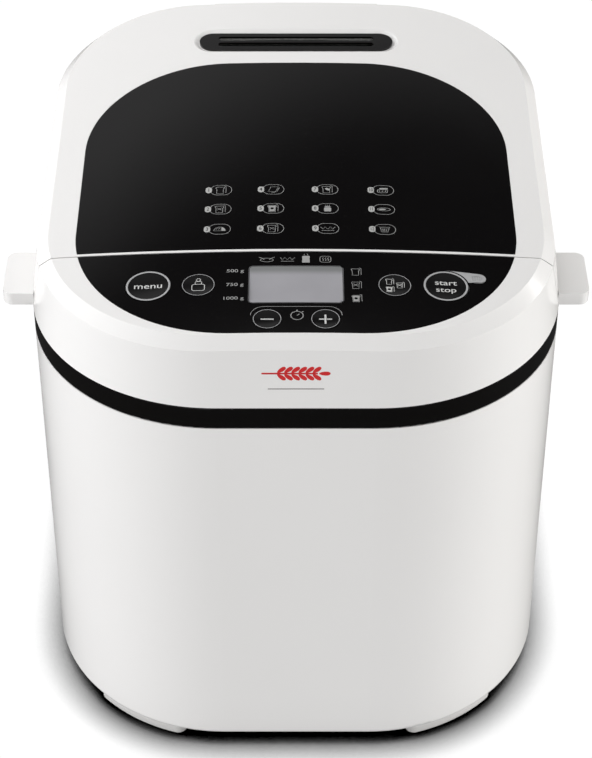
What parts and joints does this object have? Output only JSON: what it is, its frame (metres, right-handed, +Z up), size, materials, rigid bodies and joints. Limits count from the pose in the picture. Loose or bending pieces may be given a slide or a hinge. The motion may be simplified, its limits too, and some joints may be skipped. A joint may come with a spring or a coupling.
{
  "type": "bread machine",
  "caption": "Compact countertop bread machine with a hinged crowned lid, sloping control panel with keys and display, lift-out pan with bail and paddle, and a belt drive.",
  "frame": {"origin": "middle of the machine's footprint on the worktop, under the foot pads", "axes": "+Z up, the control panel faces -Y, +X to the right seen from the front"},
  "size_m": [0.299, 0.302, 0.297],
  "materials": {
    "white_casing": "gloss moulded",
    "black_gloss": "gloss",
    "display_glass": "gloss",
    "key_cap": "gloss",
    "light_guide": "satin",
    "black_plastic": "satin",
    "rubber_pad": "matte",
    "board": "satin",
    "sheet_steel": "brushed",
    "bright_steel": "polished",
    "element_sheath": "oxidised",
    "pan_coating": "non-stick coating",
    "bronze": "turned",
    "die_cast": "cast",
    "belt_rubber": "ribbed"
  },
  "bodies": {
    "root": {"lower_body": "white_casing", "base_plate": "white_casing", "front_feet": "white_casing", "rear_feet": "white_casing", "foot_pads": "rubber_pad", "base_screws": "bright_steel", "trim_band": "black_gloss", "front_fascia": "white_casing", "control_panel": "black_gloss", "lcd_window": "display_glass", "lcd_module": "black_plastic", "start_lamp": "light_guide", "control_board": "board", "board_screws": "bright_steel", "upper_housing": "white_casing", "hinge_pins": "bright_steel", "baking_chamber": "sheet_steel", "chamber_supports": "sheet_steel", "heating_element": "element_sheath", "element_clips": "sheet_steel", "temperature_sensor": "bright_steel", "thermal_fuse": "black_plastic", "pan_socket": "die_cast", "bearing_housing": "die_cast", "bearing_bush": "bronze", "belt": "belt_rubber", "motor": "sheet_steel", "motor_bracket": "sheet_steel", "motor_capacitor": "black_plastic", "board_frame": "black_plastic", "power_board": "board", "supply_gland": "black_plastic"},
    "lid": {"lid_frame": "white_casing", "lid_insert": "black_gloss", "vent_grille": "black_gloss", "lid_tray": "sheet_steel", "steam_duct": "black_plastic"},
    "drive": {"large_pulley": "black_plastic", "drive_shaft": "bright_steel", "drive_dog": "die_cast"},
    "motor_rotor": {"small_pulley": "bright_steel", "motor_shaft": "bright_steel"},
    "pan": {"bread_pan": "pan_coating", "pan_bush": "bronze"},
    "bail": {"pan_bail": "bright_steel"},
    "paddle": {"kneading_paddle": "pan_coating", "pan_shaft": "bright_steel", "pan_coupler": "die_cast"},
    "key_menu": {"key_menu": "key_cap"},
    "key_weight": {"key_weight": "key_cap"},
    "key_crust": {"key_crust": "key_cap"},
    "key_start_stop": {"key_start_stop": "key_cap"},
    "key_minus": {"key_minus": "key_cap"},
    "key_plus": {"key_plus": "key_cap"}
  },
  "joints": [
    {"name": "lid_hinge", "type": "hinge", "parent": "root", "child": "lid", "pos_m": [0, 0.14, 0.284], "axis": [-1, 0, 0], "range_deg": [0, 78]},
    {"name": "pan_lift", "type": "slide", "parent": "root", "child": "pan", "axis": [0, 0, 1], "range_m": [0, 0.008]},
    {"name": "bail_swing", "type": "hinge", "parent": "pan", "child": "bail", "pos_m": [0, 0.034, 0.174], "axis": [-1, 0, 0], "range_deg": [0, 160]},
    {"name": "drive_spin", "type": "hinge", "parent": "root", "child": "drive", "pos_m": [0, 0.034, 0.022], "axis": [0, 0, 1], "continuous": true},
    {"name": "motor_spin", "type": "hinge", "parent": "root", "child": "motor_rotor", "pos_m": [0, -0.1, 0.022], "axis": [0, 0, 1], "continuous": true},
    {"name": "paddle_spin", "type": "hinge", "parent": "pan", "child": "paddle", "pos_m": [0, 0.034, 0.08], "axis": [0, 0, 1], "continuous": true},
    {"name": "press_menu", "type": "slide", "parent": "root", "child": "key_menu", "axis": [0.051, 0.0655, -0.9965], "range_m": [0, 0.0008], "stiffness_N_per_m": 400},
    {"name": "press_weight", "type": "slide", "parent": "root", "child": "key_weight", "axis": [0.0337, 0.0655, -0.9973], "range_m": [0, 0.0008], "stiffness_N_per_m": 400},
    {"name": "press_crust", "type": "slide", "parent": "root", "child": "key_crust", "axis": [-0.0341, 0.0655, -0.9973], "range_m": [0, 0.0008], "stiffness_N_per_m": 400},
    {"name": "press_start_stop", "type": "slide", "parent": "root", "child": "key_start_stop", "axis": [-0.0517, 0.0655, -0.9965], "range_m": [0, 0.0008], "stiffness_N_per_m": 400},
    {"name": "press_minus", "type": "slide", "parent": "root", "child": "key_minus", "axis": [0.0098, 0.0656, -0.9978], "range_m": [0, 0.0008], "stiffness_N_per_m": 400},
    {"name": "press_plus", "type": "slide", "parent": "root", "child": "key_plus", "axis": [-0.01, 0.0656, -0.9978], "range_m": [0, 0.0008], "stiffness_N_per_m": 400}
  ],
  "couplings": [
    {"joint": "motor_spin", "follows": "drive_spin", "ratio": 6.1111},
    {"joint": "paddle_spin", "follows": "drive_spin", "ratio": 1}
  ]
}
